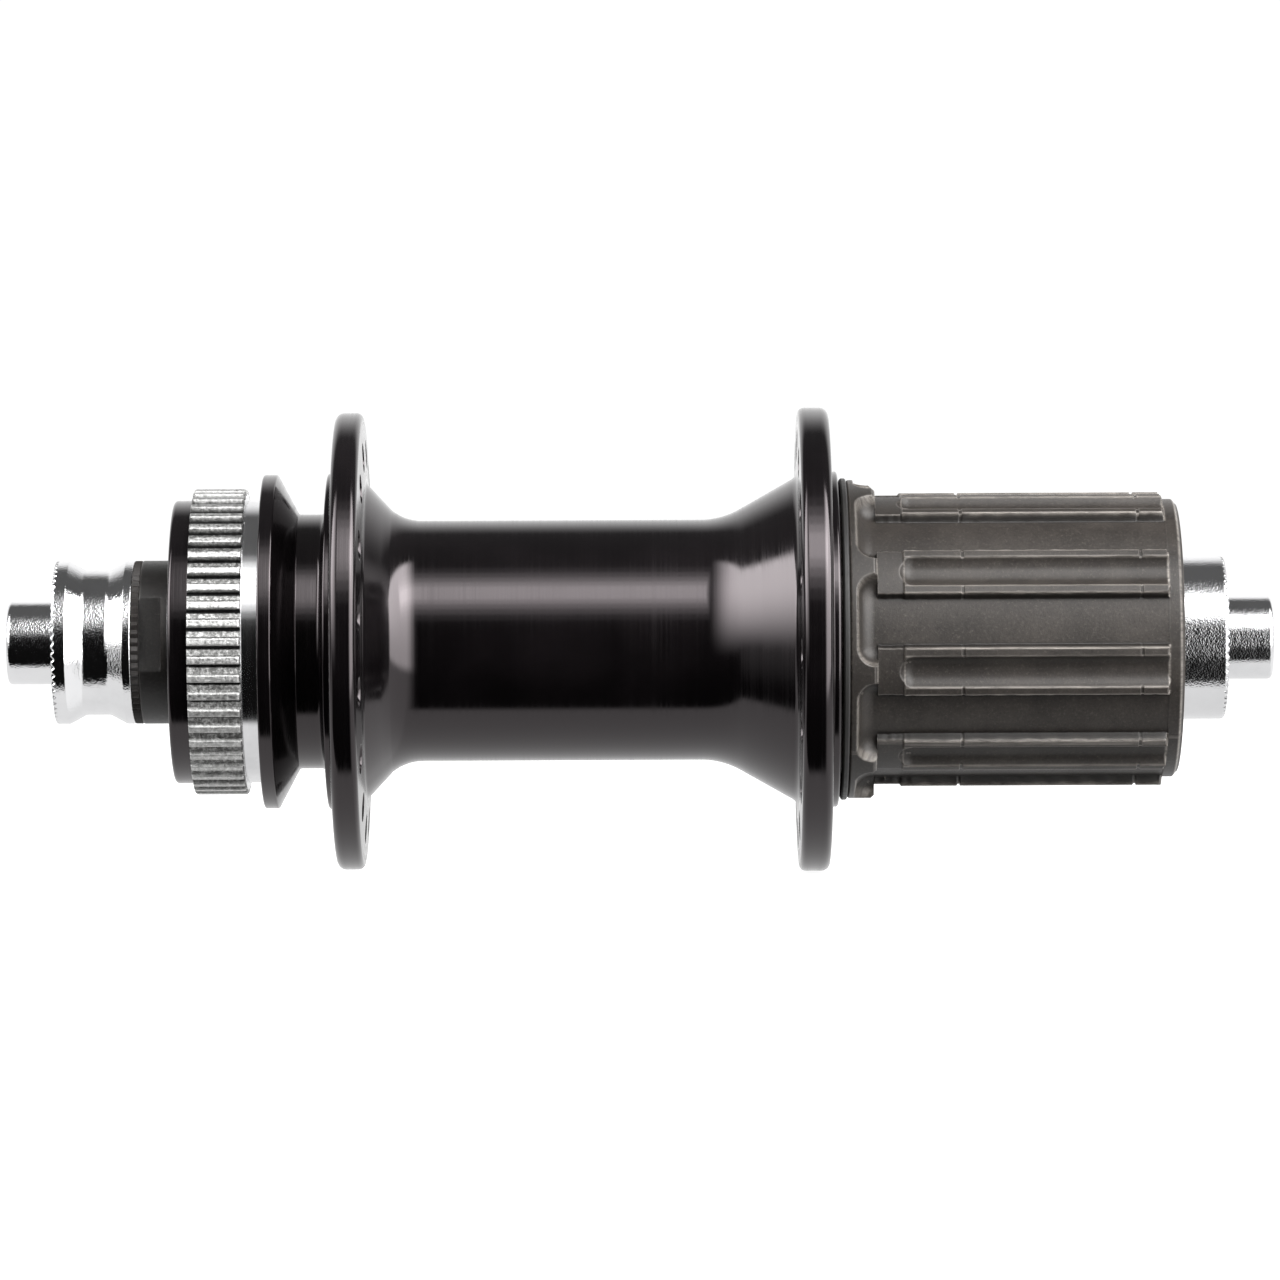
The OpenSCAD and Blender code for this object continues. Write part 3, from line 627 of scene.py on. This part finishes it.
def freehub_outside(x, a):
    """Radius of the freehub body's outside, in mm, with where it is worn bright and where painted shade darkens its
    recesses.
    """
    pitch = TAU / RIDGES
    first = math.radians(27)
    k = np.round((a - first) / pitch)
    d = a - first - k * pitch
    wide = (k % RIDGES == RIDGES - 4) & (d < 0)
    half = np.where(wide, 3.75, 2.75)
    u = np.abs(TIP * np.sin(d))
    wobble = 0.02 * np.sin(x * 2.3 + 5 * k) + 0.015 * np.sin(x * 5.9 + 3 * k)
    tip = TIP - 0.25 * smooth((30.05 - x) / 0.1)
    for nick in (36.7, 57.0):
        tip = tip - 0.22 * smooth((0.2 - np.abs(x - nick)) / 0.08)
    end = 60.1 + 0.10 * np.sin(3 * k + 1) + 0.12 * np.sin(u * 4.1 + k)
    tip = tip - 1.1 * smooth((x - end + 0.12) / 0.16)
    flank = tip - (u - half - wobble) * 3.0
    ridge = soft_min(tip + 0 * u, flank, 0.16)
    rho = np.sqrt(np.clip(2.1 ** 2 - np.clip(31.2 - x, 0, 2.1) ** 2, 0, None))
    channel = np.where(x > 29.1, 18.05 - np.sqrt(np.clip(rho ** 2 - u ** 2, 0, None)), 18.05)
    ridge = soft_min(ridge, channel, 0.10)
    floor = FLOOR + 0.10 * smooth((x - 60.0) / 0.2)
    surface = soft_max(floor + 0 * u, ridge, 0.22)

    mid = np.abs(TIP * np.sin(np.abs(d) - pitch / 2))
    qx, qv = 26.7 - x, mid - 2.85
    edge = np.hypot(np.clip(qx, 0, None), np.clip(qv, 0, None)) + np.minimum(np.maximum(qx, qv), 0) - 2.0
    t = -edge
    scoop = FLOOR + 2.0 - np.sqrt(np.clip(4 - np.clip(2 - t, 0, 2) ** 2, 0, None))
    scoop = np.where(t < 0, FLOOR + 2.0 - t * 6, scoop)
    base = 18.4 - 0.25 * smooth((24.05 - x) / 0.25) - 0.35 * np.clip((x - 26.6) / 0.4, 0, 1)
    flange = soft_min(base, scoop, 0.28)
    r = np.where(x < 27.0, flange, surface)
    r = np.where(x > 61.35, np.minimum(r, 16.05 - 0.55 * smooth((x - 61.35) / 0.55)), r)

    worn = np.exp(-((u - half + 0.02) / 0.10) ** 2) * (x > 30) * (x < 60.2)
    worn = np.maximum(worn, 0.75 * np.exp(-((u - 1.84) / 0.09) ** 2) * (x > 30) * (x < 60.2))
    worn = np.maximum(worn, 0.9 * np.exp(-((x - 60.1) / 0.12) ** 2) * (u < half + 0.3))
    worn = np.maximum(worn, 0.7 * np.exp(-(t / 0.14) ** 2) * (x < 26.9))
    worn = np.maximum(worn, 0.6 * np.exp(-((x - 26.95) / 0.10) ** 2) * (t < 0.1))
    worn = np.maximum(worn, 0.8 * np.exp(-((x - 61.5) / 0.12) ** 2))
    worn = np.maximum(worn, 0.5 * np.exp(-((x - 30.05) / 0.08) ** 2) * (u < half))
    # Painted shade: the valley floor at the foot of each ridge wall is marked to be coloured darker.
    recess_shade = smooth((u - half + 0.05) / 0.15) * smooth((half + 0.75 - u) / 0.35) * (x > 27) * (x < 60.1)
    return r, worn, recess_shade


def build_freehub_body():
    xs = sorted(set(
        dense(23.8, 31.4, 0.1) + dense(31.4, 36.4, 0.7) + dense(36.4, 37.0, 0.06) + dense(37.0, 56.7, 0.8)
        + dense(56.7, 57.3, 0.06) + dense(57.3, 59.6, 0.6) + dense(59.6, 61.9, 0.08) + [26.98, 27.02]))
    n_out = len(xs)
    inside = fillet([
        [61.9, 15.45], [61.4, 15.0], *[[x, 15.0] for x in dense(61.3, 53.1, 0.14)], [53.0, 14.75],
        *arc(50.5, 13.0, 1.64, 90, 177, 8), [47.5, 13.1], [47.5, 14.2], [36.49, 14.2], [36.49, 14.15], [29.5, 14.15],
        [29.5, 13.1], *arc(26.0, 13.0, 1.64, 3, 90, 8), [26.0, 14.75], [23.8, 14.75],
    ])
    line = np.array([[x, 17.0] for x in xs] + [list(p) for p in inside])
    pitch = TAU / RIDGES
    offsets = [o / TIP for o in dense(-3.5, 3.5, 0.1)]
    gap = pitch - 7.0 / TIP
    offsets += [3.5 / TIP + gap * k / 12 for k in range(1, 12)]
    first_tooth = math.radians(180 + 27.5)
    teeth = [first_tooth + math.radians(10 * i + o) for i in range(36) for o in (0, 2.6)]
    angles = np.unique(np.round(np.array(
        [math.radians(27) + pitch * i + o for i in range(RIDGES) for o in offsets] + teeth) % TAU, 7))

    def warp(x, r, a):
        out, worn, recess_shade = freehub_outside(x[:n_out], a[:n_out])
        r = r.copy()
        r[:n_out] = out
        inner = r[n_out:]
        xi, ai = x[n_out:], a[n_out:]
        threaded = (np.abs(inner - 15.0) < 1e-6) & (xi < 61.35)
        inner = np.where(threaded, inner - thread_depth(xi, ai, 1.0, 0.28, 53.1, 61.35), inner)
        saw = np.degrees(ai - first_tooth + 1e-7) % 10
        ratchet = 13.1 + 1.3 * np.where(saw < 2.6, 1 - saw / 2.6, (saw - 2.6) / 7.4)
        r[n_out:] = np.where(np.abs(inner - 14.15) < 1e-6, ratchet, inner)
        zero = np.zeros_like(inner)
        return x, r, {"worn": np.concatenate([worn, zero]), "recess_shade": np.concatenate([recess_shade, zero])}

    obj = turned("freehub_splined_body", line, angles, warp, angle=75)
    place(obj, FREEHUB, "freehub_body", "freehub_steel", "freehub_body")


build_shell()
build_rotor_spline()
build_nuts()
build_axle()
build_left_cone()
build_caps_and_seals()
build_freehub_body()

# ---------------------------------------------------------------- floor, light and camera

low, high = cad_box
reach = (high - low).length


def build_floor():
    size = 3.0
    z = low.z - 0.0002
    n = 24
    ticks = [(-1 + 2 * i / n) * size for i in range(n + 1)]
    verts = [(x, y, z) for y in ticks for x in ticks]
    faces = [(j * (n + 1) + i, j * (n + 1) + i + 1, (j + 1) * (n + 1) + i + 1, (j + 1) * (n + 1) + i)
             for j in range(n) for i in range(n)]
    floor = mesh_object("floor", verts, faces)
    floor.data.materials.append(floor_paper())
    floor.visible_glossy = False
    floor.visible_diffuse = False


def build_world():
    """A light tent: white behind and below, dark over and round the camera, white at both ends of the hub."""
    world = bpy.data.worlds.new("light_tent")
    scene.world = world
    world.use_nodes = True
    tree = world.node_tree
    s = Shader.__new__(Shader)
    s.tree = tree
    background = tree.nodes["Background"]
    rays = s.node("ShaderNodeLightPath")
    coords = s.node("ShaderNodeTexCoord")
    axes = s.node("ShaderNodeSeparateXYZ")
    s.link(coords.outputs["Generated"], axes.inputs[0])
    x, y, z = axes.outputs
    lift = s.math("MULTIPLY", s.math("ARCTAN2", z, s.math("MULTIPLY", y, -1.0)), 180 / math.pi)
    behind_above = s.ramp(lift, 118, 150)
    below = s.math("MULTIPLY", s.ramp(lift, -66, -72), 0.80)
    under_top = s.ramp(lift, 86, 78)
    right = s.math("MULTIPLY", s.ramp(x, 0.08, 0.50), s.math("MULTIPLY", s.ramp(lift, -34, -22, 0.12, 0.55),
                                                             s.ramp(lift, -22, 60, 1.0, 1.8)))
    left = s.math("MULTIPLY", s.ramp(x, -0.15, -0.70), s.ramp(lift, -20, 60))
    short_of_end = s.ramp(s.math("ABSOLUTE", x), 0.925, 0.975, 1.0, 0.03)
    panels = s.math("MULTIPLY", s.math("MAXIMUM", left, right), s.math("MULTIPLY", under_top, 9.0))
    panels = s.math("MULTIPLY", panels, short_of_end)
    ends = s.math("MULTIPLY", s.ramp(s.math("ABSOLUTE", x), 0.80, 0.92), s.math("MULTIPLY", short_of_end, 0.9))
    dim = s.ramp(lift, 4, 40, 0.004, 0.10)
    total = s.math("MAXIMUM", s.math("MAXIMUM", behind_above, below), s.math("MAXIMUM", ends, dim))
    total = s.math("MULTIPLY", total, 1.15)
    total = s.math("MAXIMUM", total, s.math("MULTIPLY", panels, s.math("SUBTRACT", 1.0, s.math(
        "MULTIPLY", rays.outputs["Is Diffuse Ray"], 0.88))))
    straight = rays.outputs["Is Camera Ray"]
    fill = s.math("MULTIPLY", rays.outputs["Is Diffuse Ray"], s.ramp(lift, -15, 30, 0.0, 0.30))
    even = s.math("ADD", s.math("MULTIPLY", straight, 1.05), fill)
    seen = s.math("ADD", s.math("MULTIPLY", total, s.math("SUBTRACT", 1.0, straight)), even)
    s.link(seen, background.inputs["Strength"])
    background.inputs["Color"].default_value = (1, 1, 1, 1)


def area_light(name, position, target, size_x, size_y, radiance, colour=(1, 1, 1)):
    data = bpy.data.lights.new(name, "AREA")
    data.shape = "RECTANGLE"
    data.size, data.size_y = size_x, size_y
    data.energy = radiance * size_x * size_y * math.pi
    data.color = colour
    light = bpy.data.objects.new(name, data)
    scene.collection.objects.link(light)
    light.location = position
    light.rotation_mode = "QUATERNION"
    light.rotation_quaternion = (Vector(target) - Vector(position)).to_track_quat("-Z", "Y")
    return light


def place_at(lift_deg, distance, x):
    """A point at that angle up from the camera's side, as seen from the hub's axis."""
    a = math.radians(lift_deg)
    return Vector((x, -distance * math.cos(a), distance * math.sin(a)))


def build_lights():
    away = 0.55
    for i, (height, radiance) in enumerate([(0.13, 1.7), (0.22, 1.6), (0.32, 1.1), (0.44, 0.7), (0.58, 0.25)]):
        position = place_at(46, away + 0.004 * i, 0.19)
        area_light(f"key_softbox_{i}", position, (0.19, 0, 0), 0.48 + 0.03 * i, height, radiance)


def build_camera():
    distance = 0.80
    lens = 194.4
    data = bpy.data.cameras.new("camera")
    data.sensor_width = 36
    data.lens = lens
    data.clip_start, data.clip_end = 0.05, 20
    camera = bpy.data.objects.new("camera", data)
    scene.collection.objects.link(camera)
    camera.location = (0, -distance, 0)
    camera.rotation_euler = (math.radians(90), math.radians(0.26), 0)
    scene.camera = camera


build_floor()
build_world()
build_lights()
build_camera()
scene.view_settings.view_transform = "Standard"
scene.view_settings.look = "None"
